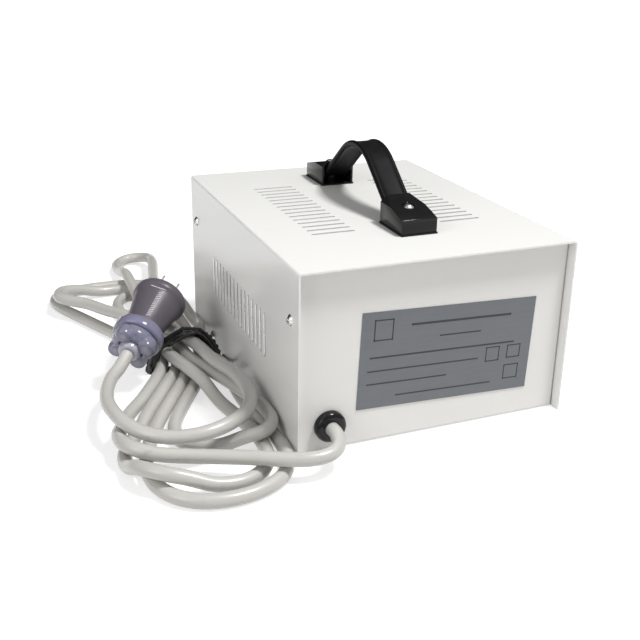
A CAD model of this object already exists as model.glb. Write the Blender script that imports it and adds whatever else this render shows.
# Isolation transformer in a vented white case, with a strap handle and a tied mains cord.
# Metres, X across the case, Y from the cord end to the outlet end, Z up from the surface.
import bpy
import math
import random
from mathutils import Matrix, Vector


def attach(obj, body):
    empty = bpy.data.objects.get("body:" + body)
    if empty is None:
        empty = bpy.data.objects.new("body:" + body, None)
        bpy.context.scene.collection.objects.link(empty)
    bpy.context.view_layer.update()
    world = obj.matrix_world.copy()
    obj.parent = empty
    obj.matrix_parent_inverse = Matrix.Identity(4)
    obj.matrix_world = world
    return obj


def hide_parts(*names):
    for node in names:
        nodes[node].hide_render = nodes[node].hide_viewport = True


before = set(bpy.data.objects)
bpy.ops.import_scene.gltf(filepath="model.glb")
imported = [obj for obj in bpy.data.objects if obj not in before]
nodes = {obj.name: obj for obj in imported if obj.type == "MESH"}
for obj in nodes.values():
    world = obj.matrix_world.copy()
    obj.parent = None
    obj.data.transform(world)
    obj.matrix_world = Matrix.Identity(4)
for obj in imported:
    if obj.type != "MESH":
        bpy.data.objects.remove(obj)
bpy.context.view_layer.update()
mm = 0.001
root = "enclosure"

# the camera, as it stood in the photograph
cameraSetup = {
    "azimuth": -23.86, "elevation": 20.75, "roll": 1.57,
    "spot": (-0.28727, -0.62261, 0.31967),
    "lens": 52.53, "shift": (-0.0442, -0.0473),
}


def makeCamera(setup):
    az, el, roll = (math.radians(setup[k]) for k in ("azimuth", "elevation", "roll"))
    back = Vector((math.sin(az) * math.cos(el), -math.cos(az) * math.cos(el), math.sin(el)))
    right = Vector((math.cos(az), math.sin(az), 0))
    up = back.cross(right)
    turnedRight = math.cos(roll) * right + math.sin(roll) * up
    turnedUp = -math.sin(roll) * right + math.cos(roll) * up
    data = bpy.data.cameras.new("photoCamera")
    data.sensor_width = 36
    data.lens = setup["lens"]
    data.shift_x, data.shift_y = setup["shift"]
    data.clip_start, data.clip_end = 0.01, 50
    camera = bpy.data.objects.new("photoCamera", data)
    bpy.context.collection.objects.link(camera)
    place = Matrix((turnedRight, turnedUp, back)).transposed().to_4x4()
    place.translation = Vector(setup["spot"])
    camera.matrix_world = place
    bpy.context.scene.camera = camera


makeCamera(cameraSetup)
print("camera placed")


# helpers
def deselectAll():
    if bpy.context.object and bpy.context.object.mode != "OBJECT":
        bpy.ops.object.mode_set(mode="OBJECT")
    bpy.ops.object.select_all(action="DESELECT")


def pick(obj):
    deselectAll()
    obj.select_set(True)
    bpy.context.view_layer.objects.active = obj


def settle(obj):
    # leaves the object at the origin, unturned and unscaled
    pick(obj)
    bpy.ops.object.transform_apply(location=True, rotation=True, scale=True)


def applyAll(obj):
    pick(obj)
    for name in [m.name for m in obj.modifiers]:
        bpy.ops.object.modifier_apply(modifier=name)


def roundEdges(obj, width, segments=3, angle=35):
    bevel = obj.modifiers.new("roundEdges", "BEVEL")
    bevel.width = width
    bevel.segments = segments
    bevel.limit_method = "ANGLE"
    bevel.angle_limit = math.radians(angle)
    bevel.harden_normals = False
    applyAll(obj)


def smoothShade(obj, angle=40):
    pick(obj)
    bpy.ops.object.shade_smooth_by_angle(angle=math.radians(angle))


def joinAll(parts, name):
    deselectAll()
    for part in parts:
        part.select_set(True)
    bpy.context.view_layer.objects.active = parts[0]
    if len(parts) > 1:
        bpy.ops.object.join()
    joined = bpy.context.view_layer.objects.active
    joined.name = name
    return joined


def shiftBy(x, y, z):
    # a move given in millimetres
    return Matrix.Translation((x * mm, y * mm, z * mm))


def turnBy(degrees, axis):
    return Matrix.Rotation(math.radians(degrees), 4, axis)


def dress(obj, material, body=root):
    obj.data.materials.clear()
    obj.data.materials.append(material)
    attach(obj, body)


def copyMesh(obj):
    twin = obj.copy()
    twin.data = obj.data.copy()
    bpy.context.collection.objects.link(twin)
    return twin


def makeBox(size, centre=(0, 0, 0)):
    # a box by its size and centre in millimetres
    deselectAll()
    bpy.ops.mesh.primitive_cube_add(size=1, location=[c * mm for c in centre])
    box = bpy.context.object
    box.scale = [c * mm for c in size]
    settle(box)
    return box


def startEdit():
    bpy.ops.object.mode_set(mode="EDIT")
    bpy.ops.mesh.select_mode(type="FACE")
    bpy.ops.mesh.select_all(action="SELECT")


def endEdit():
    bpy.ops.mesh.select_all(action="SELECT")
    bpy.ops.mesh.normals_make_consistent(inside=False)
    bpy.ops.object.mode_set(mode="OBJECT")


def bendyPoints(points, steps):
    # a smooth line through all the points
    line = []
    for i in range(len(points) - 1):
        a, b = points[max(i - 1, 0)], points[i]
        c, d = points[i + 1], points[min(i + 2, len(points) - 1)]
        for k in range(steps):
            t = k / steps
            line.append(0.5 * (2 * b + (c - a) * t + (2 * a - 5 * b + 4 * c - d) * t ** 2
                               + (3 * b - a - 3 * c + d) * t ** 3))
    line.append(points[-1])
    return line


def lineCurve(name, points, radius=0.0, profile=None, closed=False, sides=3):
    data = bpy.data.curves.new(name, "CURVE")
    data.dimensions = "3D"
    data.twist_mode = "MINIMUM"
    spline = data.splines.new("POLY")
    spline.points.add(len(points) - 1)
    for point, spot in zip(spline.points, points):
        point.co = (*spot, 1)
    spline.use_cyclic_u = closed
    spline.use_smooth = True
    data.use_fill_caps = not closed
    if profile:
        data.bevel_mode = "OBJECT"
        data.bevel_object = profile
    else:
        data.bevel_depth = radius
        data.bevel_resolution = sides
    curve = bpy.data.objects.new(name, data)
    bpy.context.collection.objects.link(curve)
    return curve


def curveToMesh(curve):
    pick(curve)
    bpy.ops.object.convert(target="MESH")
    return bpy.context.view_layer.objects.active


# shared surface effects
def newGroup(name, inputs, outputs):
    group = bpy.data.node_groups.new(name, "ShaderNodeTree")
    for label, kind, value in inputs:
        socket = group.interface.new_socket(name=label, in_out="INPUT", socket_type=kind)
        socket.default_value = value
    for label, kind in outputs:
        group.interface.new_socket(name=label, in_out="OUTPUT", socket_type=kind)
    entry = group.nodes.new("NodeGroupInput")
    leave = group.nodes.new("NodeGroupOutput")
    return group, entry, leave


def addNode(tree, kind, links=(), **settings):
    # links are pairs of an input name or number and what feeds it, a socket or a value
    node = tree.nodes.new(kind)
    for key, value in settings.items():
        setattr(node, key, value)
    for key, value in links:
        target = node.inputs[key]
        if isinstance(value, bpy.types.NodeSocket):
            tree.links.new(value, target)
        else:
            target.default_value = value
    return node


def combine(tree, operation, first, second):
    return addNode(tree, "ShaderNodeMath", [(0, first), (1, second)], operation=operation).outputs[0]


def ramped(tree, value, start, end, low=0.0, high=1.0, kind="LINEAR"):
    return addNode(tree, "ShaderNodeMapRange", [
        ("Value", value), ("From Min", start), ("From Max", end), ("To Min", low), ("To Max", high)],
        interpolation_type=kind).outputs["Result"]


def makeMottle():
    # soft cloudy change and a fine grain over the surface
    group, entry, leave = newGroup("mottle", [
        ("Vector", "NodeSocketVector", (0, 0, 0)), ("Cloud Scale", "NodeSocketFloat", 12.0),
        ("Grain Scale", "NodeSocketFloat", 900.0), ("Grain Share", "NodeSocketFloat", 0.3),
    ], [("Cloud", "NodeSocketFloat"), ("Grain", "NodeSocketFloat"), ("Height", "NodeSocketFloat")])
    cloud = addNode(group, "ShaderNodeTexNoise", [
        ("Vector", entry.outputs["Vector"]), ("Scale", entry.outputs["Cloud Scale"]), ("Detail", 3.0)])
    grain = addNode(group, "ShaderNodeTexNoise", [
        ("Vector", entry.outputs["Vector"]), ("Scale", entry.outputs["Grain Scale"]), ("Detail", 2.0)])
    blend = addNode(group, "ShaderNodeMix", [
        (0, entry.outputs["Grain Share"]), (2, cloud.outputs["Fac"]), (3, grain.outputs["Fac"])],
        data_type="FLOAT")
    group.links.new(cloud.outputs["Fac"], leave.inputs["Cloud"])
    group.links.new(grain.outputs["Fac"], leave.inputs["Grain"])
    group.links.new(blend.outputs[0], leave.inputs["Height"])
    return group


def makeSpots():
    # small marks that show only where the noise is high
    group, entry, leave = newGroup("spots", [
        ("Vector", "NodeSocketVector", (0, 0, 0)), ("Scale", "NodeSocketFloat", 60.0),
        ("Start", "NodeSocketFloat", 0.6), ("End", "NodeSocketFloat", 0.75),
    ], [("Mask", "NodeSocketFloat")])
    noise = addNode(group, "ShaderNodeTexNoise", [
        ("Vector", entry.outputs["Vector"]), ("Scale", entry.outputs["Scale"]), ("Detail", 6.0),
        ("Roughness", 0.65)])
    mask = ramped(group, noise.outputs["Fac"], entry.outputs["Start"], entry.outputs["End"],
                  kind="SMOOTHSTEP")
    group.links.new(mask, leave.inputs["Mask"])
    return group


def makeStreaks():
    # fine lines along one direction, as brushing or drawing leaves
    group, entry, leave = newGroup("streaks", [
        ("Vector", "NodeSocketVector", (0, 0, 0)), ("Stretch", "NodeSocketVector", (1, 1, 1)),
        ("Scale", "NodeSocketFloat", 400.0),
    ], [("Line", "NodeSocketFloat")])
    spread = addNode(group, "ShaderNodeVectorMath", [
        (0, entry.outputs["Vector"]), (1, entry.outputs["Stretch"])], operation="MULTIPLY")
    noise = addNode(group, "ShaderNodeTexNoise", [
        ("Vector", spread.outputs["Vector"]), ("Scale", entry.outputs["Scale"]), ("Detail", 4.0)])
    group.links.new(noise.outputs["Fac"], leave.inputs["Line"])
    return group


def makeDust():
    # pale film that settles on what faces up
    group, entry, leave = newGroup("dust", [
        ("Vector", "NodeSocketVector", (0, 0, 0)), ("Amount", "NodeSocketFloat", 0.1),
    ], [("Mask", "NodeSocketFloat")])
    place = group.nodes.new("ShaderNodeNewGeometry")
    split = addNode(group, "ShaderNodeSeparateXYZ", [(0, place.outputs["Normal"])])
    facing = ramped(group, split.outputs["Z"], 0.3, 1.0)
    noise = addNode(group, "ShaderNodeTexNoise", [
        ("Vector", entry.outputs["Vector"]), ("Scale", 140.0), ("Detail", 4.0)])
    patch = combine(group, "MULTIPLY", facing, noise.outputs["Fac"])
    group.links.new(combine(group, "MULTIPLY", patch, entry.outputs["Amount"]), leave.inputs["Mask"])
    return group


mottle, spots, streaks, dust = makeMottle(), makeSpots(), makeStreaks(), makeDust()


# materials from dictionaries of settings
def useGroup(tree, group, vector, **values):
    node = tree.nodes.new("ShaderNodeGroup")
    node.node_tree = group
    tree.links.new(vector, node.inputs["Vector"])
    for key, value in values.items():
        node.inputs[key.replace("_", " ")].default_value = value
    return node


def mixColour(tree, factor, first, second):
    first, second = (c if isinstance(c, bpy.types.NodeSocket) else (*c, 1) for c in (first, second))
    feeds = [(0, factor), (6, first), (7, second)]
    return addNode(tree, "ShaderNodeMix", feeds, data_type="RGBA").outputs[2]


dustColour = (0.62, 0.6, 0.56)
streakDark, streakShare = 0.8, 0.45
# the values between which the noise mostly lies
noiseLow, noiseHigh = 0.3, 0.7


def makeFinish(name, look):
    # one finish from its dictionary: base and second colour, roughness range, grain, marks, dust
    material = bpy.data.materials.new(name)
    material.use_nodes = True
    tree = material.node_tree
    shader = tree.nodes["Principled BSDF"]
    coords = tree.nodes.new("ShaderNodeTexCoord").outputs["Object"]
    cloudy = useGroup(tree, mottle, coords, Cloud_Scale=look.get("cloudScale", 14.0),
                      Grain_Scale=look.get("grainScale", 900.0), Grain_Share=look.get("grainShare", 0.4))
    colour = mixColour(tree, cloudy.outputs["Cloud"], look["base"], look.get("second", look["base"]))
    roughSource = cloudy.outputs["Cloud"]
    height = cloudy.outputs["Height"]
    if "streak" in look:
        lines = useGroup(tree, streaks, coords, Stretch=look["streak"],
                         Scale=look.get("streakScale", 400.0))
        dark = tuple(c * streakDark for c in look["base"])
        soft = combine(tree, "MULTIPLY", lines.outputs["Line"], streakShare)
        colour = mixColour(tree, soft, colour, dark)
        roughSource = height = lines.outputs["Line"]
    if "mark" in look:
        marks = useGroup(tree, spots, coords, Scale=look.get("markScale", 60.0),
                         Start=look.get("markStart", 0.6), End=look.get("markEnd", 0.75))
        colour = mixColour(tree, marks.outputs["Mask"], colour, look["mark"])
    if look.get("dust"):
        film = useGroup(tree, dust, coords, Amount=look["dust"])
        colour = mixColour(tree, film.outputs["Mask"], colour, dustColour)
    tree.links.new(colour, shader.inputs["Base Color"])
    low, high = look.get("rough", (0.4, 0.5))
    rough = ramped(tree, roughSource, noiseLow, noiseHigh, low, high)
    tree.links.new(rough, shader.inputs["Roughness"])
    if look.get("bump"):
        bump = addNode(tree, "ShaderNodeBump", [
            ("Strength", look["bump"]), ("Distance", look.get("bumpDepth", 0.0002)), ("Height", height)])
        tree.links.new(bump.outputs["Normal"], shader.inputs["Normal"])
    for key, socket in (("metal", "Metallic"), ("coat", "Coat Weight"), ("coatRough", "Coat Roughness"),
                        ("through", "Transmission Weight"), ("ior", "IOR"),
                        ("gloss", "Specular IOR Level")):
        if key in look:
            shader.inputs[socket].default_value = look[key]
    return material


finishes = {
    "powderCoat": {"base": (0.84, 0.835, 0.815), "second": (0.80, 0.795, 0.77), "cloudScale": 9,
        "grainScale": 1500, "grainShare": 0.85, "rough": (0.17, 0.27), "bump": 0.10, "bumpDepth": 0.0001,
        "mark": (0.74, 0.735, 0.71), "markScale": 22, "markStart": 0.62, "markEnd": 0.85, "dust": 0.05},
    "slotEdge": {"base": (0.94, 0.935, 0.925), "second": (0.90, 0.895, 0.885), "cloudScale": 60,
        "grainScale": 1500, "rough": (0.22, 0.34), "bump": 0.08, "bumpDepth": 0.00008, "metal": 0.45},
    "warmCoat": {"base": (0.82, 0.81, 0.78), "second": (0.79, 0.775, 0.74), "cloudScale": 9,
        "grainScale": 1500, "grainShare": 0.85, "rough": (0.32, 0.45), "bump": 0.10, "bumpDepth": 0.0001,
        "mark": (0.72, 0.70, 0.65), "markScale": 26, "markStart": 0.64, "markEnd": 0.85},
    "plateMetal": {"base": (0.165, 0.175, 0.19), "second": (0.15, 0.16, 0.172), "cloudScale": 20,
        "streak": (0.05, 1, 1), "streakScale": 900, "rough": (0.42, 0.55), "bump": 0.08,
        "bumpDepth": 0.00005, "metal": 0.25},
    "plateInk": {"base": (0.022, 0.022, 0.024), "second": (0.035, 0.035, 0.038), "cloudScale": 300,
        "rough": (0.4, 0.6)},
    "brightZinc": {"base": (0.72, 0.72, 0.70), "second": (0.60, 0.60, 0.58), "cloudScale": 260,
        "grainScale": 2500, "rough": (0.14, 0.30), "bump": 0.15, "bumpDepth": 0.00005, "metal": 1.0,
        "mark": (0.42, 0.42, 0.40), "markScale": 420},
    "blackMoulding": {"base": (0.004, 0.004, 0.005), "second": (0.008, 0.008, 0.009), "cloudScale": 40,
        "grainScale": 2600, "grainShare": 0.9, "rough": (0.12, 0.22), "bump": 0.08, "bumpDepth": 0.00006,
        "mark": (0.04, 0.04, 0.042), "markScale": 130, "markStart": 0.66, "markEnd": 0.9, "dust": 0.012,
        "gloss": 0.3},
    "strapRubber": {"base": (0.003, 0.003, 0.0035), "second": (0.006, 0.006, 0.007), "cloudScale": 30,
        "grainScale": 1800, "grainShare": 0.8, "rough": (0.30, 0.46), "bump": 0.14, "bumpDepth": 0.00008,
        "mark": (0.016, 0.016, 0.017), "markScale": 80, "markStart": 0.63, "markEnd": 0.9, "dust": 0.015,
        "gloss": 0.05},
    "springSteel": {"base": (0.42, 0.43, 0.45), "streak": (1, 0.05, 1), "rough": (0.3, 0.45),
        "metal": 1.0, "bump": 0.1, "bumpDepth": 0.00005},
    "cordJacket": {"base": (0.52, 0.51, 0.48), "second": (0.46, 0.45, 0.42), "cloudScale": 30,
        "grainScale": 1300, "grainShare": 0.6, "rough": (0.30, 0.44), "bump": 0.12, "bumpDepth": 0.00012,
        "mark": (0.36, 0.35, 0.32), "markScale": 85, "markStart": 0.60, "markEnd": 0.80, "coat": 0.5,
        "coatRough": 0.22},
    "lamination": {"base": (0.20, 0.205, 0.21), "second": (0.16, 0.165, 0.17), "streak": (0.02, 1, 0.02),
        "streakScale": 1200, "rough": (0.35, 0.55), "metal": 0.8, "bump": 0.4, "bumpDepth": 0.0002,
        "mark": (0.12, 0.07, 0.045), "markScale": 60},
    "bobbinNylon": {"base": (0.62, 0.52, 0.30), "second": (0.56, 0.46, 0.26), "rough": (0.4, 0.55),
        "bump": 0.1},
    "enamelCopper": {"base": (0.42, 0.14, 0.05), "second": (0.33, 0.10, 0.035), "streak": (0.02, 0.02, 1),
        "streakScale": 900, "rough": (0.22, 0.35), "metal": 0.7, "bump": 0.6, "bumpDepth": 0.0003},
    "filmWrap": {"base": (0.62, 0.45, 0.16), "second": (0.55, 0.38, 0.12), "rough": (0.25, 0.4),
        "bump": 0.2},
    "copperFoil": {"base": (0.72, 0.36, 0.20), "second": (0.62, 0.28, 0.15), "rough": (0.2, 0.35),
        "metal": 1.0, "bump": 0.1},
    "darkBracket": {"base": (0.045, 0.047, 0.05), "second": (0.06, 0.062, 0.065), "rough": (0.4, 0.55),
        "bump": 0.15, "mark": (0.16, 0.16, 0.16), "markScale": 90},
    "contactBrass": {"base": (0.62, 0.53, 0.33), "second": (0.54, 0.46, 0.29), "cloudScale": 120,
        "streak": (1, 1, 0.1), "streakScale": 800, "rough": (0.2, 0.35), "metal": 1.0, "bump": 0.08,
        "bumpDepth": 0.00005},
    "bladeNickel": {"base": (0.52, 0.51, 0.48), "second": (0.44, 0.43, 0.40), "cloudScale": 150,
        "rough": (0.2, 0.36), "metal": 1.0, "bump": 0.1, "bumpDepth": 0.00005, "mark": (0.2, 0.19, 0.17),
        "markScale": 260},
    "rockerRed": {"base": (0.35, 0.015, 0.012), "second": (0.28, 0.012, 0.01), "rough": (0.2, 0.3),
        "bump": 0.06, "grainScale": 1800},
    "buttonWhite": {"base": (0.72, 0.71, 0.67), "second": (0.66, 0.65, 0.6), "rough": (0.25, 0.35),
        "bump": 0.06, "grainScale": 1800},
    "outletIvory": {"base": (0.70, 0.66, 0.55), "second": (0.66, 0.61, 0.50), "cloudScale": 50,
        "grainScale": 2000, "rough": (0.26, 0.36), "bump": 0.06, "bumpDepth": 0.00006,
        "mark": (0.5, 0.46, 0.38), "markScale": 160, "markStart": 0.66},
    "zincSheet": {"base": (0.55, 0.55, 0.53), "second": (0.48, 0.48, 0.46), "cloudScale": 130,
        "rough": (0.3, 0.5), "metal": 0.9, "bump": 0.1},
    "wireBlack": {"base": (0.015, 0.015, 0.017), "second": (0.02, 0.02, 0.022), "rough": (0.3, 0.4)},
    "wireWhite": {"base": (0.70, 0.70, 0.68), "second": (0.64, 0.64, 0.61), "rough": (0.3, 0.4)},
    "wireGreen": {"base": (0.02, 0.19, 0.045), "second": (0.018, 0.16, 0.04), "rough": (0.3, 0.4)},
    "wireBrown": {"base": (0.16, 0.08, 0.035), "second": (0.13, 0.065, 0.03), "rough": (0.3, 0.4)},
    "clearViolet": {"base": (0.19, 0.165, 0.195), "second": (0.14, 0.13, 0.155), "cloudScale": 32,
        "grainScale": 600, "rough": (0.30, 0.42), "bump": 0.06, "bumpDepth": 0.0002, "through": 0.45,
        "ior": 1.42, "mark": (0.18, 0.16, 0.195), "markScale": 90, "gloss": 0.3},
    "capViolet": {"base": (0.41, 0.40, 0.51), "second": (0.32, 0.315, 0.42), "cloudScale": 60,
        "grainScale": 600, "rough": (0.08, 0.18), "bump": 0.05, "bumpDepth": 0.0002, "through": 0.55,
        "ior": 1.45, "mark": (0.2, 0.19, 0.27), "markScale": 110, "coat": 0.35, "coatRough": 0.1},
    "milkyViolet": {"base": (0.25, 0.225, 0.255), "second": (0.17, 0.17, 0.19), "cloudScale": 28,
        "rough": (0.35, 0.5), "bump": 0.1},
    "clearBlue": {"base": (0.10, 0.12, 0.52), "second": (0.08, 0.09, 0.40), "cloudScale": 80,
        "rough": (0.05, 0.12), "bump": 0.04, "through": 0.75, "ior": 1.5, "coat": 0.6, "coatRough": 0.06},
    "paleViolet": {"base": (0.62, 0.60, 0.70), "second": (0.54, 0.52, 0.62), "cloudScale": 70,
        "rough": (0.12, 0.24), "bump": 0.08, "through": 0.35, "ior": 1.5, "coat": 0.4, "coatRough": 0.1},
    "paleInset": {"base": (0.74, 0.72, 0.76), "second": (0.55, 0.53, 0.58), "rough": (0.3, 0.4)},
    "tieBlack": {"base": (0.012, 0.012, 0.012), "second": (0.022, 0.022, 0.021), "cloudScale": 160,
        "grainScale": 1500, "grainShare": 0.5, "rough": (0.2, 0.42), "bump": 0.5, "bumpDepth": 0.0004,
        "mark": (0.10, 0.10, 0.095), "markScale": 240, "markStart": 0.64, "markEnd": 0.8},
}
look = {name: makeFinish(name, values) for name, values in finishes.items()}

nodeFinish = {
    "powderCoat": ["cover"],
    "warmCoat": ["chassis"],
    "plateMetal": ["rating_plate"],
    "brightZinc": ["cover_screws", "handle_screws", "handle_nuts", "outlet_screws", "core_bolts",
        "core_nuts", "weld_studs", "foot_nuts", "plug_screws", "breaker_ring_nut"],
    "blackMoulding": ["strain_relief", "handle_cap_near", "handle_cap_far", "handle_base_plates",
        "thermal_cutout", "terminal_block", "switch_housing", "breaker_body", "cord_tie"],
    "strapRubber": ["handle_strap"],
    "springSteel": ["handle_spring_strip"],
    "cordJacket": ["input_cable", "cord_lead", "cord_hank", "cord_tail"],
    "lamination": ["core_e_stack", "core_i_stack"],
    "bobbinNylon": ["bobbin", "layer_insulation"],
    "enamelCopper": ["primary_winding", "secondary_winding"],
    "filmWrap": ["coil_wrap"],
    "copperFoil": ["shield_foil"],
    "darkBracket": ["core_foot_near", "core_foot_far", "core_top_bars"],
    "contactBrass": ["ground_lugs", "terminal_screws", "switch_terminals", "breaker_terminals",
        "plug_ground_pin"],
    "bladeNickel": ["plug_blades"],
    "rockerRed": ["switch_rocker"],
    "buttonWhite": ["breaker_button"],
    "outletIvory": ["outlet_bodies"],
    "zincSheet": ["outlet_yokes"],
    "wireBlack": ["line_wires"],
    "wireWhite": ["neutral_wires", "primary_leads"],
    "wireGreen": ["ground_wires"],
    "wireBrown": ["outlet_wires", "secondary_leads"],
    "clearViolet": ["plug_body"],
    "capViolet": ["plug_cap", "plug_collar"],
}
for finish, names in nodeFinish.items():
    for name in names:
        obj = nodes[name]
        if obj.material_slots:
            for place in obj.material_slots:
                place.material = look[finish]
        else:
            obj.data.materials.append(look[finish])
print("materials made")

# mains cord, on the same route as the solid, in millimetres
cordSetup = {
    "diameter": 9.5, "waist": (-137, 26), "turn": -17.5, "pitch": 11.2,
    "low": 6.7, "mid": 16.8, "top": 26.4, "bushing": (-77, -128, 18.5), "plug": (-184, 2, 33),
}


def passAt(across, height):
    turn = math.radians(cordSetup["turn"])
    run = across * cordSetup["pitch"]
    return (cordSetup["waist"][0] + run * math.cos(turn), cordSetup["waist"][1] + run * math.sin(turn),
            cordSetup[height])


leadRun = [
    cordSetup["bushing"], (-77, -135, 18.5), (-80, -146, 17.5), (-88, -153, 16.5), (-100, -154, 16),
    (-114, -149, 15.5), (-132, -140, 15.5), (-150, -130, 14.5), (-169, -121, 14), (-187, -114, 15),
    (-200, -106, 17), (-206, -94, 16.3), (-206, -78, 14), (-201, -60, 9), (-192, -38, 6),
    (-175, -11, 5),
]
hankRun = [
    passAt(-1.5, "low"),
    (-158, 62, 5), (-167, 85, 5), (-178, 111, 5), (-197, 152, 5), (-209, 179, 5), (-213, 198, 5),
    (-206, 212, 5), (-190, 219, 5), (-160, 221, 5), (-130, 214, 5), (-112, 193, 5), (-107, 158, 5),
    (-107, 118, 5), (-108, 94, 8.5), (-112, 75, 14), (-118, 52, 16.5),
    passAt(1.1, "mid"),
    (-114.5, -4, 16), (-112, -34, 5.5), (-110, -71, 5), (-107, -101, 5), (-108, -127, 5),
    (-117, -147, 5), (-133, -158, 5), (-153, -162, 5), (-173, -158, 5), (-188, -145, 5),
    (-195, -125, 5), (-193, -99, 5), (-180, -65, 5), (-167, -39, 5), (-150, -9, 5),
    passAt(0.5, "low"),
    (-136, 56, 5), (-140, 86, 5), (-144, 131, 5), (-145, 169, 13.5), (-145, 196, 16), (-145, 219, 16),
    (-145, 245, 10), (-145, 269, 6), (-141, 283, 5), (-130, 291, 6), (-118, 286, 8), (-112, 271, 11),
    (-114, 246, 15), (-120, 214, 17), (-127, 180, 20), (-135, 145, 21), (-144, 106, 20),
    (-150, 74, 17),
    passAt(-1.1, "mid"),
    (-141, -1, 16.5), (-135, -23, 14.5), (-129, -43, 7), (-122, -69, 5), (-118, -94, 5),
    (-119, -119, 5), (-127, -137, 5), (-142, -146, 5), (-160, -147, 7), (-177, -143, 13),
    (-191, -137, 16), (-202, -123, 14), (-206, -105, 6), (-204, -87, 5), (-191, -63, 5),
    (-179, -39, 5), (-162, -9, 5),
    passAt(-0.5, "low"),
    (-147, 60, 5), (-153, 88, 5), (-159, 121, 5), (-163, 156, 5), (-160, 177, 5), (-150, 188, 5),
    (-138, 184, 5), (-130, 164, 5), (-129, 133, 5), (-130, 106, 7), (-132, 71, 15.5),
    passAt(0, "mid"),
    (-130, -1, 16.5), (-119, -31, 15.5), (-110, -61, 15.4), (-107, -84, 15.3), (-109, -99, 15.2),
    (-118, -109, 15.3), (-130, -108, 13), (-145, -101, 6), (-158, -95, 5), (-168, -82, 5),
    (-166, -63, 5), (-155, -39, 5), (-138, -9, 5),
    passAt(1.5, "low"),
    (-118, 56, 5), (-118, 91, 5), (-118, 126, 5), (-118, 156, 5), (-121, 179, 5), (-132, 200, 5),
    (-150, 208, 5), (-172, 208, 6), (-192, 202, 12), (-207, 191, 16), (-211, 175, 17),
    (-203, 161, 18), (-191, 146, 19), (-179, 122, 20.5), (-166, 96, 24), (-152, 68, 27.5),
    passAt(0.5, "top"),
]
tailRun = [
    (-125, -14, 26.5), (-117, -40, 26), (-115, -64, 25.6), (-118, -82, 25.6), (-126, -97, 25.4),
    (-140, -108, 25), (-157, -113, 24), (-174, -109, 22), (-188, -101, 22), (-198, -90, 23),
    (-205, -76, 25), (-208, -57, 25.5), (-206, -38, 25.5), (-200, -20, 26), (-192, -8.6, 28.2),
    cordSetup["plug"],
]
cordLine = bendyPoints([Vector(p) * mm for p in leadRun + hankRun + tailRun], 5)
mainsCord = lineCurve("mains_cord", cordLine, radius=cordSetup["diameter"] / 2 * mm, sides=8)
mainsCord.data.materials.append(look["cordJacket"])
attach(mainsCord, root)
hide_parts("cord_lead", "cord_hank", "cord_tail")

# plug, its round forms given as (radius, height from the cord's end) in millimetres
plugSetup = {
    "turn": 53, "rise": 19.5, "roll": 32.5,
    "plug_shell": [(9, 25.1), (13.2, 25.1), (13.9, 25.6), (14, 29.8), (14.5, 32.5), (16.4, 43),
                   (18.4, 53), (18.9, 56), (20, 57.2), (20.5, 58.2), (20.5, 62.2), (20, 63.4),
                   (19, 63.9), (9, 64)],
    "plug_core": [(7, 25.8), (10.6, 26.2), (11.4, 31), (14.2, 45), (15.8, 55), (16.4, 61), (14, 62.8)],
    "plug_ring": [(11, 15), (17, 15), (18.1, 15.4), (18.8, 16.6), (19, 18), (19, 21.6), (18.7, 23.2),
                  (17.6, 24.5), (16, 25), (9, 25)],
    "plug_back": [(8.2, 9.5), (9.6, 5.2), (10.6, 4.6), (12.6, 5.4), (15.2, 7.4), (16.3, 9.6), (16.6, 12),
                  (16.5, 14.6), (15, 14.9)],
    "lobe": [(2.9, 3.2), (4.6, 3.3), (5.7, 4), (6.3, 5.6), (6.4, 8), (6.3, 11.6), (5.4, 13.2), (3, 13.5)],
    "plug_clamp": [(5.4, 6), (9.4, 6.4), (11.2, 8.4), (12.6, 12), (14, 18), (14.6, 23), (8, 24)],
    "plug_nut": [(4.9, 0.2), (6.2, 0.1), (7.4, 0.6), (8, 1.8), (8.3, 4), (8.6, 6.2), (8.2, 7.6),
                 (5.2, 7.8)],
    "lobes": 4, "lobeOut": 12.6, "skin": 0.5,
    "tick": (0.7, 3.6, 0.42), "ticks": 13, "tickStart": 30, "tickEnd": 53, "tickAngle": 206,
    "tickSlant": 24,
    "crossAngle": 196, "crossEnd": 55, "cross": (0.7, 12, 0.5), "markEdge": 0.12,
    "flareStart": 30, "flareFrom": 14, "flareOut": 5, "flareLong": 26.5,
}
plugPlace = (shiftBy(*cordSetup["plug"]) @ turnBy(plugSetup["turn"], "Z")
             @ turnBy(90 - plugSetup["rise"], "Y"))


def turned(name, profile, sides=48):
    # a round form made from a circle that is extruded and resized, profile as (radius, height) in mm
    deselectAll()
    radius, height = profile[0]
    bpy.ops.mesh.primitive_circle_add(vertices=sides, radius=radius * mm, fill_type="NGON",
                                      location=(0, 0, height * mm))
    obj = bpy.context.object
    obj.name = name
    settle(obj)
    startEdit()
    for newRadius, newHeight in profile[1:]:
        bpy.ops.mesh.extrude_region_move(
            TRANSFORM_OT_translate={"value": (0, 0, (newHeight - height) * mm)})
        scale = newRadius / radius
        bpy.ops.transform.resize(value=(scale, scale, 1), center_override=(0, 0, newHeight * mm))
        radius, height = newRadius, newHeight
    endEdit()
    return obj


def onPlug(obj):
    obj.matrix_world = plugPlace @ obj.matrix_world
    settle(obj)
    return obj


def makeRoundForm(name, finish, sides, node=None):
    form = turned(name, plugSetup[name], sides)
    smoothShade(onPlug(form), 50)
    dress(form, look[finish])
    if node:
        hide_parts(node)
    return form


def placeMark(mark, angle, along, slant):
    # on the flared shell, which leans outwards along its length
    s = plugSetup
    out = s["flareFrom"] + s["flareOut"] * (along - s["flareStart"]) / s["flareLong"]
    lean = math.degrees(math.atan2(s["flareOut"], s["flareLong"]))
    mark.matrix_world = (turnBy(angle, "Z") @ shiftBy(out, 0, along) @ turnBy(lean, "Y")
                         @ turnBy(slant, "X"))
    settle(mark)
    return mark


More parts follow.
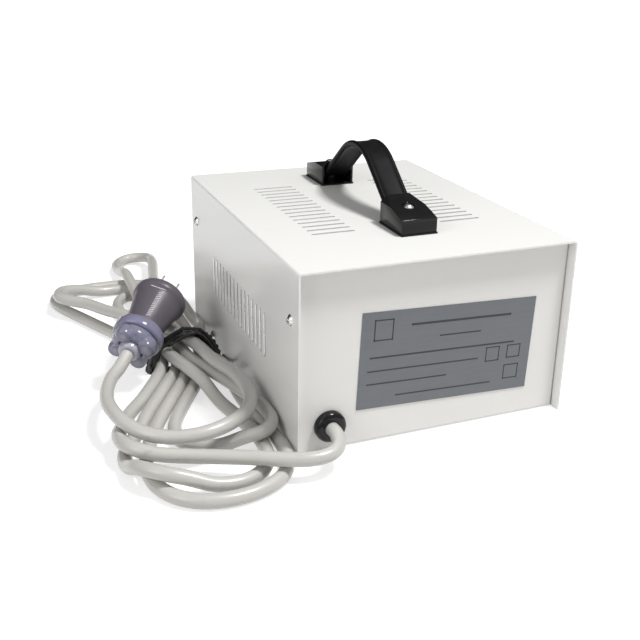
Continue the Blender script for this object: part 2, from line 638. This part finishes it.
def makeMarks():
    # the row of short slanted marks moulded along the shell, and the cross line at its end
    s = plugSetup
    first = makeBox(s["tick"])
    marks = []
    for i in range(s["ticks"]):
        along = s["tickStart"] + (s["tickEnd"] - s["tickStart"]) * i / s["ticks"]
        marks.append(placeMark(copyMesh(first), s["tickAngle"], along, s["tickSlant"]))
    bpy.data.objects.remove(first)
    marks.append(placeMark(makeBox(s["cross"]), s["crossAngle"], s["crossEnd"], 0))
    ticks = joinAll(marks, "plug_marks")
    roundEdges(ticks, s["markEdge"] * mm, 2)
    dress(onPlug(ticks), look["paleInset"])
    return ticks


def makeBack():
    # the cap with its four screw lobes, hollowed round the nut that grips the cord
    s = plugSetup
    parts = [turned("plug_back", s["plug_back"], 64)]
    lobe = turned("lobe", s["lobe"], 32)
    for k in range(s["lobes"]):
        twin = copyMesh(lobe)
        turn = s["roll"] + 45 + 360 / s["lobes"] * k
        twin.matrix_world = turnBy(turn, "Z") @ shiftBy(s["lobeOut"], 0, 0)
        settle(twin)
        parts.append(twin)
    bpy.data.objects.remove(lobe)
    back = joinAll(parts, "plug_back")
    remesh = back.modifiers.new("oneSkin", "REMESH")
    remesh.mode = "VOXEL"
    remesh.voxel_size = s["skin"] * mm
    soften = back.modifiers.new("soften", "SMOOTH")
    soften.factor = 0.5
    soften.iterations = 5
    applyAll(back)
    pick(back)
    bpy.ops.object.shade_smooth()
    dress(onPlug(back), look["capViolet"])
    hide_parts("plug_cap")
    return back


plugPieces = [
    makeRoundForm("plug_shell", "clearViolet", 64, "plug_body"),
    makeRoundForm("plug_core", "milkyViolet", 48),
    makeMarks(),
    makeRoundForm("plug_ring", "capViolet", 64, "plug_collar"),
    makeBack(),
    # dark blue clamp that shows behind the nut and through the cap
    makeRoundForm("plug_clamp", "clearBlue", 40),
    makeRoundForm("plug_nut", "paleViolet", 40),
]
print("plug made")

# tie round the hank, its points in millimetres in the tie's own plane
tieSetup = {
    "form": [(-23.3, 1.6), (0, 1.5), (23.3, 1.6), (23.6, 7), (23.3, 12.2), (18.5, 21.4), (12.4, 30.4),
             (9.4, 32.2), (1.6, 32.2), (-3, 30.4), (-14.8, 22.8), (-18.4, 20.8), (-23.3, 10.3),
             (-23.6, 6)],
    "middle": (0, 0, 14), "width": 8.5, "thick": 1.5, "bandOut": 1,
    # sideways place, lean and lift of each thinner turn laid over the band
    "strands": [(-3.4, 2.4, 2.1), (2.8, -3.0, 2.3), (0.6, 4.6, 3.0), (-1.4, -5.0, 2.7)],
    "strandRadius": 1.15, "strandWave": 0.35, "strandShake": (0.2, 0.25),
    "knot": [(6, -2, 33.4), (11, 0, 34.2), (17, 2, 31), (22, 3, 25), (25.5, 4, 17), (27.5, 6, 9),
             (29, 10, 3.2), (29.5, 18, 1.6), (28.6, 26, 1.5)],
    "twist": (0.75, 0.75, 0.5), "twistStep": 0.75, "tailRadius": 0.95,
    "loops": [
        [(-3, -5.5, 31.5), (2, -7.5, 34.5), (8, -6, 35.4), (12, -1, 34), (8, 3, 34.6), (1, 3.5, 33.2),
         (-5, 0, 29.4)],
        [(-10, -5, 26.5), (-6, -8, 29.5), (0, -7, 33), (6, -2, 34.6), (4, 4, 33.4), (-4, 6, 30.4),
         (-12, 4, 25.8)],
    ],
    "loopRadius": 1.05,
}
tiePlace = shiftBy(*cordSetup["waist"], 0) @ turnBy(cordSetup["turn"], "Z")


def flatProfile(name, width, thick):
    # a flat oblong with round corners, as a closed curve
    deselectAll()
    bpy.ops.curve.primitive_bezier_circle_add(radius=1)
    profile = bpy.context.object
    profile.name = name
    profile.data.dimensions = "2D"
    profile.data.fill_mode = "NONE"
    profile.data.splines.clear()
    spline = profile.data.splines.new("POLY")
    corners = []
    r = min(width, thick) / 2 * 0.8
    for cx, cy, start in ((1, 1, 0), (-1, 1, 90), (-1, -1, 180), (1, -1, 270)):
        for k in range(4):
            a = math.radians(start + 30 * k)
            corners.append((cx * (width / 2 - r) + r * math.cos(a),
                            cy * (thick / 2 - r) + r * math.sin(a)))
    spline.points.add(len(corners) - 1)
    for point, (x, y) in zip(spline.points, corners):
        point.co = (x * mm, y * mm, 0, 1)
    spline.use_cyclic_u = True
    return profile


def makeTie():
    s = tieSetup
    rng = random.Random(7)
    form = [Vector((x, 0, z)) for x, z in s["form"]]
    loop = bendyPoints(form + form[:2], 6)[:len(form) * 6]
    middle = Vector(s["middle"])
    band = flatProfile("tieProfile", s["thick"], s["width"])
    ring = [(p + (p - middle).normalized() * s["bandOut"]) * mm for p in loop]
    pieces = [curveToMesh(lineCurve("tieBand", ring, profile=band, closed=True))]
    for n, (shift, lean, lift) in enumerate(s["strands"]):
        strand = []
        for i, p in enumerate(loop):
            a = 2 * math.pi * i / len(loop)
            out = lift + s["strandWave"] * math.sin(5 * a + n) + s["strandShake"][0] * rng.uniform(-1, 1)
            spot = p + (p - middle).normalized() * out
            spot.z = max(spot.z, s["strandRadius"] + 0.05)
            spot.y = shift + lean * math.sin(a + n) + s["strandShake"][1] * rng.uniform(-1, 1)
            strand.append(spot * mm)
        pieces.append(curveToMesh(lineCurve(
            "tieStrand", strand, radius=s["strandRadius"] * mm, closed=True, sides=2)))
    # the twisted ends, up over the knot and down beside the hank
    across, along, up = s["twist"]
    for turn in (0, 1):
        twist = []
        for i, p in enumerate(bendyPoints([Vector(q) for q in s["knot"]], 7)):
            a = s["twistStep"] * i + math.pi * turn
            twist.append((p + Vector((across * math.cos(a), along * math.sin(a), up * math.sin(a)))) * mm)
        pieces.append(curveToMesh(lineCurve("tieTail", twist, radius=s["tailRadius"] * mm, sides=2)))
    for run in s["loops"]:
        line = [p * mm for p in bendyPoints([Vector(q) for q in run], 6)]
        pieces.append(curveToMesh(lineCurve("tieLoop", line, radius=s["loopRadius"] * mm, sides=2)))
    tie = joinAll(pieces, "hank_tie")
    tie.matrix_world = tiePlace
    settle(tie)
    smoothShade(tie, 45)
    dress(tie, look["tieBlack"])
    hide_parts("cord_tie")
    bpy.data.objects.remove(band)


makeTie()
print("tie made")

# handle
handleSetup = {
    "x": 4, "y": 8.5, "z": 129, "gap": 110, "rise": 47.5, "width": 21, "thick": 2.6,
    "rimThick": 4.6, "rimWidth": 3.2, "rimRound": 0.9, "rimStep": 0.5, "rimRun": 1.2,
    "crown": 40, "slope": 38, "tongueZ": 6.8, "tongueBend": 8, "tongueEnd": 87.5,
    "crownSteps": 14, "legSteps": 6, "bendSteps": 6, "tongueSteps": 4,
    "capWidth": 27, "capLength": 35.5, "capHeight": 11.5, "hood": 20.5, "hoodTop": 18, "hoodSide": 16,
    "base": 1.2, "wall": 1.8, "edge": 0.5, "screwIn": 17, "seatRadius": 4.45, "seatTop": 40,
    "padRadius": 6, "padLow": 3, "padTop": 30, "padSink": 0.4,
}
handlePlace = shiftBy(handleSetup["x"], handleSetup["y"], handleSetup["z"])


def strapLine():
    # the strap's side line as (y, z): half of it, by crown, leg, bend and tongue, and its mirror image
    s = handleSetup
    slope = math.radians(s["slope"])
    top = s["rise"] - s["rimThick"] / 2
    legStart = (s["crown"] * math.sin(slope), top - s["crown"] * (1 - math.cos(slope)))
    legEndZ = s["tongueZ"] + s["tongueBend"] * (1 - math.cos(slope))
    legEnd = legStart[0] + (legStart[1] - legEndZ) / math.tan(slope)
    flatStart = legEnd + s["tongueBend"] * math.sin(slope)
    half = []
    for i in range(s["crownSteps"] + 1):
        a = slope * i / s["crownSteps"]
        half.append((s["crown"] * math.sin(a), top - s["crown"] * (1 - math.cos(a))))
    for i in range(1, s["legSteps"]):
        t = i / s["legSteps"]
        half.append((legStart[0] + (legEnd - legStart[0]) * t, legStart[1] + (legEndZ - legStart[1]) * t))
    for i in range(s["bendSteps"] + 1):
        a = slope * (1 - i / s["bendSteps"])
        half.append((flatStart - s["tongueBend"] * math.sin(a),
                     s["tongueZ"] + s["tongueBend"] * (1 - math.cos(a))))
    for i in range(1, s["tongueSteps"] + 1):
        half.append((flatStart + (s["tongueEnd"] - flatStart) * i / s["tongueSteps"], s["tongueZ"]))
    return [(-y, z) for y, z in reversed(half[1:])] + half


def makeStrap():
    # the strap's section with its raised rims, as a face that is pushed along the strap's line
    s = handleSetup
    line = strapLine()
    outer, inner = s["width"] / 2, s["width"] / 2 - s["rimWidth"]
    web, edge = s["thick"] / 2, s["rimThick"] / 2
    soft, step, run = s["rimRound"], s["rimStep"], s["rimRun"]
    quarter = [(inner - run, web), (inner, edge - step), (inner + soft, edge), (outer - soft, edge),
               (outer, edge - soft)]
    upper = [(-x, z) for x, z in reversed(quarter)][1:] + quarter
    section = upper + [(x, -z) for x, z in reversed(quarter)]
    section += [(-x, -z) for x, z in quarter] + [(-outer, edge - soft)]
    deselectAll()
    bpy.ops.mesh.primitive_circle_add(vertices=len(section), radius=1, fill_type="NGON")
    strap = bpy.context.object
    strap.name = "carry_strap"
    first = line[0]
    for vertex, (x, z) in zip(strap.data.vertices, section):
        vertex.co = (x * mm, first[0] * mm, (first[1] + z) * mm)
    startEdit()
    tilt = 0
    for i in range(1, len(line)):
        (y0, z0), (y1, z1) = line[i - 1], line[i]
        ahead = line[min(i + 1, len(line) - 1)]
        heading = math.atan2(ahead[1] - z0, ahead[0] - y0)
        bpy.ops.mesh.extrude_region_move(
            TRANSFORM_OT_translate={"value": (0, (y1 - y0) * mm, (z1 - z0) * mm)})
        bpy.ops.transform.rotate(value=-(heading - tilt), orient_axis="X", orient_type="GLOBAL",
                                 center_override=(0, y1 * mm, z1 * mm))
        tilt = heading
    endEdit()
    strap.matrix_world = handlePlace
    settle(strap)
    soft = strap.modifiers.new("soft", "SUBSURF")
    soft.levels = soft.render_levels = 1
    applyAll(strap)
    pick(strap)
    bpy.ops.object.shade_smooth()
    dress(strap, look["strapRubber"])
    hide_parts("handle_strap")


makeStrap()
print("strap made")


def capShell(name):
    # side outline drawn as a face, pushed across, corners cut, hollowed from the mouth and below
    s = handleSetup
    front, far = s["gap"] / 2, s["gap"] / 2 + s["capLength"]
    outline = [(front, s["base"]), (front, s["hood"]), (far, s["capHeight"]), (far, s["base"])]
    deselectAll()
    bpy.ops.mesh.primitive_circle_add(vertices=len(outline), radius=1, fill_type="NGON")
    cap = bpy.context.object
    cap.name = name
    for vertex, (y, z) in zip(cap.data.vertices, outline):
        vertex.co = (-s["capWidth"] / 2 * mm, y * mm, z * mm)
    startEdit()
    bpy.ops.mesh.extrude_region_move(TRANSFORM_OT_translate={"value": (s["capWidth"] * mm, 0, 0)})
    cut = Vector((s["hood"] - s["hoodSide"], 0, (s["capWidth"] - s["hoodTop"]) / 2)).normalized()
    for sign in (1, -1):
        bpy.ops.mesh.select_all(action="SELECT")
        bpy.ops.mesh.bisect(plane_co=(sign * s["capWidth"] / 2 * mm, 0, s["hoodSide"] * mm),
                            plane_no=(sign * cut.x, 0, cut.z), use_fill=True, clear_outer=True)
    endEdit()
    for face in cap.data.polygons:
        mouth = abs(face.center.y - front * mm) < 1e-5 and face.normal.y < -0.9
        face.select = mouth or face.normal.z < -0.9
    bpy.ops.object.mode_set(mode="EDIT")
    bpy.ops.mesh.delete(type="FACE")
    bpy.ops.object.mode_set(mode="OBJECT")
    wall = cap.modifiers.new("wall", "SOLIDIFY")
    wall.thickness = s["wall"] * mm
    wall.offset = -1
    wall.use_even_offset = True
    applyAll(cap)
    roundEdges(cap, s["edge"] * mm, 3, 30)
    # a solid pad under the screw, cut to the slope, and the seat sunk into it
    slope = (s["hood"] - s["capHeight"]) / s["capLength"]
    screw = s["gap"] / 2 + s["screwIn"]
    seat = s["hood"] - slope * (s["screwIn"] + s["seatRadius"])
    for part, radius, low, high, way in (
            ("pad", s["padRadius"], s["padLow"], s["padTop"], "UNION"),
            ("seat", s["seatRadius"], seat, s["seatTop"], "DIFFERENCE")):
        deselectAll()
        bpy.ops.mesh.primitive_cylinder_add(vertices=48, radius=radius * mm, depth=(high - low) * mm,
                                            location=(0, screw * mm, (high + low) / 2 * mm))
        tool = bpy.context.object
        settle(tool)
        if part == "pad":
            startEdit()
            bpy.ops.mesh.bisect(plane_co=(0, front * mm, (s["hood"] - s["padSink"]) * mm),
                                plane_no=(0, slope, 1), use_fill=True, clear_outer=True)
            bpy.ops.object.mode_set(mode="OBJECT")
        cut = cap.modifiers.new(part, "BOOLEAN")
        cut.operation = way
        cut.object = tool
        cut.solver = "EXACT"
        applyAll(cap)
        bpy.data.objects.remove(tool)
    smoothShade(cap, 35)
    return cap


capFar = capShell("handle_hood_far")
capNear = copyMesh(capFar)
capNear.name = "handle_hood_near"
capNear.scale = (1, -1, 1)
settle(capNear)
pick(capNear)
startEdit()
bpy.ops.mesh.flip_normals()
bpy.ops.object.mode_set(mode="OBJECT")
for cap, node in ((capFar, "handle_cap_far"), (capNear, "handle_cap_near")):
    cap.matrix_world = handlePlace
    settle(cap)
    dress(cap, look["blackMoulding"])
    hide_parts(node)
print("handle caps made")

# the rating plate's blank print: bars and empty boxes by their corners, and each box's line width
plateSetup = {
    "x": 9.3, "y": -122.5, "z": 57.8, "turn": 2.2, "proud": 0.06,
    "boxes": [(-57, 14, -43, 29, 0.9), (30, -11, 41, 0, 0.8), (47, -10, 58, 0, 0.8),
              (46, -26, 58, -15, 0.8)],
    "bars": [(-30, 22.5, 47, 24.1), (-8, 12.6, 24, 13.6), (-59, 1.6, 52, 2.8), (-60, -8, 24, -7),
             (-60, -17.4, 0, -16.4), (-38, -27.4, 36, -26.4)],
}


def makePlatePrint():
    s = plateSetup
    rules = list(s["bars"])
    for x0, z0, x1, z1, w in s["boxes"]:
        rules += [(x0, z0, x1, z0 + w), (x0, z1 - w, x1, z1), (x0, z0, x0 + w, z1), (x1 - w, z0, x1, z1)]
    bars = []
    for x0, z0, x1, z1 in rules:
        bars.append(makeBox((x1 - x0, 2 * s["proud"], z1 - z0), ((x0 + x1) / 2, 0, (z0 + z1) / 2)))
    sheet = joinAll(bars, "plate_rules")
    sheet.matrix_world = shiftBy(s["x"], s["y"], s["z"]) @ turnBy(s["turn"], "Y")
    settle(sheet)
    dress(sheet, look["plateInk"])


makePlatePrint()
print("plate print made")

# the punched slots' rolled far edges, which catch the light
slotSetup = {
    "count": 15, "pitch": 9, "width": 2.5, "long": 32.5, "z": 62.5, "side": 101.5,
    "lip": 1.0, "thick": 0.14, "edge": 0.05, "past": 0.6, "turn": 62, "proud": 0.3,
}


def makeSlotWalls():
    s = slotSetup
    lip = makeBox((s["lip"], s["thick"], s["long"] - s["width"] + s["past"]))
    roundEdges(lip, s["edge"] * mm, 2)
    turn = math.radians(s["turn"])
    lean, sink = s["lip"] / 2 * math.sin(turn), s["lip"] / 2 * math.cos(turn)
    lips = []
    for sign in (-1, 1):
        for i in range(s["count"]):
            y = (i - (s["count"] - 1) / 2) * s["pitch"]
            place = shiftBy(sign * (s["side"] + s["proud"] - sink), y + s["width"] / 2 - lean, s["z"])
            twin = copyMesh(lip)
            twin.matrix_world = place @ turnBy(sign * s["turn"], "Z")
            settle(twin)
            lips.append(twin)
    bpy.data.objects.remove(lip)
    dress(joinAll(lips, "slot_walls"), look["slotEdge"])


makeSlotWalls()
print("slot walls made")

# bushing, its section as (radius, distance out of the panel)
bushingSetup = {
    "panel": -122,
    "profile": [(4.9, 5.6), (5.3, 6.0), (7.6, 6.0), (9.2, 5.6), (10.3, 4.6), (10.8, 3.2), (10.8, 0.05),
                (8.05, 0.0), (8.0, -1.6), (8.9, -1.7), (8.0, -5.6), (6.6, -15.6), (4.9, -15.6)],
}


def makeBushing():
    x, _, z = cordSetup["bushing"]
    deselectAll()
    bpy.ops.mesh.primitive_circle_add(vertices=64, radius=1)
    ring = bpy.context.object
    ring.name = "cord_bushing"
    profile = bushingSetup["profile"]
    radius, height = profile[0]
    startEdit()
    bpy.ops.transform.resize(value=(radius * mm, radius * mm, 1))
    bpy.ops.transform.translate(value=(0, 0, height * mm))
    for newRadius, newHeight in profile[1:] + profile[:1]:
        bpy.ops.mesh.extrude_edges_move(
            TRANSFORM_OT_translate={"value": (0, 0, (newHeight - height) * mm)})
        scale = newRadius / radius
        bpy.ops.transform.resize(value=(scale, scale, 1), center_override=(0, 0, newHeight * mm))
        radius, height = newRadius, newHeight
    bpy.ops.mesh.select_all(action="SELECT")
    bpy.ops.mesh.remove_doubles(threshold=0.00001)
    endEdit()
    ring.matrix_world = shiftBy(x, bushingSetup["panel"], z) @ turnBy(90, "X")
    settle(ring)
    smoothShade(ring, 40)
    dress(ring, look["blackMoulding"])
    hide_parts("strain_relief")


makeBushing()
print("bushing made")

# floor and light
stageSetup = {
    "size": 12, "floor": (0.55, 0.55, 0.55), "lift": 0.62, "farLift": 1.05, "near": 0.45, "far": 1.6,
    "glow": 0.12, "world": 0.45, "behind": 0.04, "behindFrom": (0.2, 0.6), "lowFrom": (0.96, 0.78),
    # name, place, size and power of each lamp
    "lamps": [("key", (0.52, -0.50, 1.75), 0.40, 33), ("side", (-1.65, -0.65, 0.9), 1.2, 10)],
    "aim": (0, 0, 0.06),
}


def makeStage():
    s = stageSetup
    deselectAll()
    bpy.ops.mesh.primitive_plane_add(size=s["size"], location=(0, 0, 0))
    floor = bpy.context.object
    floor.name = "floor"
    material = bpy.data.materials.new("paleFloor")
    material.use_nodes = True
    tree = material.node_tree
    tree.nodes.clear()
    out = tree.nodes.new("ShaderNodeOutputMaterial")
    lit = addNode(tree, "ShaderNodeBsdfDiffuse", [("Color", (*s["floor"], 1))])
    path = tree.nodes.new("ShaderNodeLightPath")
    seen = combine(tree, "MAXIMUM", path.outputs["Is Camera Ray"], path.outputs["Is Glossy Ray"])
    seen = combine(tree, "MAXIMUM", seen, path.outputs["Is Transmission Ray"])
    seen = combine(tree, "MAXIMUM", seen, s["glow"])
    away = addNode(tree, "ShaderNodeVectorMath", [
        (0, tree.nodes.new("ShaderNodeTexCoord").outputs["Object"])], operation="LENGTH")
    # whiter with distance, so that the far floor meets the white behind it
    lift = ramped(tree, away.outputs["Value"], s["near"], s["far"], s["lift"], s["farLift"])
    glow = addNode(tree, "ShaderNodeEmission", [("Strength", combine(tree, "MULTIPLY", seen, lift))])
    total = addNode(tree, "ShaderNodeAddShader", [(0, lit.outputs[0]), (1, glow.outputs[0])])
    tree.links.new(total.outputs[0], out.inputs["Surface"])
    floor.data.materials.append(material)

    world = bpy.data.worlds.new("studio")
    bpy.context.scene.world = world
    world.use_nodes = True
    tree = world.node_tree
    tree.nodes.clear()
    out = tree.nodes.new("ShaderNodeOutputWorld")
    path = tree.nodes.new("ShaderNodeLightPath")
    seen = combine(tree, "MAXIMUM", path.outputs["Is Camera Ray"], path.outputs["Is Transmission Ray"])
    # darker low down behind the case, so that glossy black tops stay black
    way = tree.nodes.new("ShaderNodeTexCoord").outputs["Generated"]
    way = addNode(tree, "ShaderNodeSeparateXYZ", [(0, way)])
    back = ramped(tree, way.outputs["Y"], *s["behindFrom"], kind="SMOOTHSTEP")
    low = ramped(tree, way.outputs["Z"], *s["lowFrom"], kind="SMOOTHSTEP")
    level = ramped(tree, combine(tree, "MULTIPLY", back, low), 0, 1, s["world"], s["behind"])
    around = addNode(tree, "ShaderNodeBackground", [("Color", (1, 1, 1, 1)), ("Strength", level)])
    white = addNode(tree, "ShaderNodeBackground", [("Color", (1, 1, 1, 1)), ("Strength", 1.0)])
    mix = addNode(tree, "ShaderNodeMixShader", [
        (0, seen), (1, around.outputs[0]), (2, white.outputs[0])])
    tree.links.new(mix.outputs[0], out.inputs["Surface"])

    for name, spot, size, power in s["lamps"]:
        data = bpy.data.lights.new(name, "AREA")
        data.shape = "DISK"
        data.size = size
        data.energy = power
        lamp = bpy.data.objects.new(name, data)
        bpy.context.collection.objects.link(lamp)
        lamp.location = spot
        aim = Vector(s["aim"]) - Vector(spot)
        lamp.rotation_euler = aim.to_track_quat("-Z", "Y").to_euler()


makeStage()
bpy.context.scene.view_settings.view_transform = "Standard"
print("stage lit")

bpy.context.view_layer.update()
